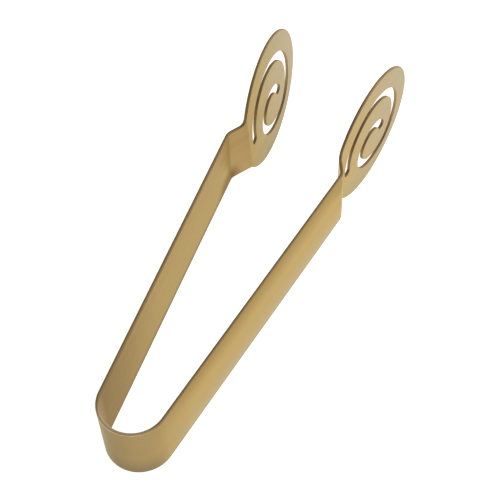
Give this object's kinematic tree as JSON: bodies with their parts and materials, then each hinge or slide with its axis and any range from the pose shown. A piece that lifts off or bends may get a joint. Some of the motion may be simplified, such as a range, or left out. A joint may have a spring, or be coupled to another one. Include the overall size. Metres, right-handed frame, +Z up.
{
  "type": "kitchen tongs",
  "caption": "Sheet-metal kitchen tongs bent from a strip: a spring bow, splayed arms, stepped necks and round paddles with a spiral slot, for lifting and serving food",
  "frame": {"origin": "middle of the bounding box, on the surface that the tongs stand on, on edge", "axes": "+X from the bow to the paddles, +Y to the left arm, +Z up from the surface"},
  "size_m": [0.1552, 0.0416, 0.046],
  "materials": {
    "gold_sheet": "satin gold-coloured coating on stainless steel sheet"
  },
  "bodies": {
    "bow": {"spring_bow": "gold_sheet"},
    "left_half": {"left_arm": "gold_sheet", "left_neck": "gold_sheet", "left_paddle": "gold_sheet"},
    "right_half": {"right_arm": "gold_sheet", "right_neck": "gold_sheet", "right_paddle": "gold_sheet"}
  },
  "joints": [
    {"name": "left_squeeze", "type": "hinge", "parent": "bow", "child": "left_half", "pos_m": [-0.06648, 0, 0.01177], "axis": [0.078, 0, -0.997], "range_deg": [0, 7.5], "stiffness_Nm_per_rad": 10.7, "deforming": ["spring_bow"]},
    {"name": "right_squeeze", "type": "hinge", "parent": "bow", "child": "right_half", "pos_m": [-0.06648, 0, 0.01177], "axis": [-0.078, 0, 0.997], "range_deg": [0, 7.5], "stiffness_Nm_per_rad": 10.7, "deforming": ["spring_bow"]}
  ],
  "couplings": [
    {"joint": "right_squeeze", "follows": "left_squeeze", "ratio": 1}
  ]
}
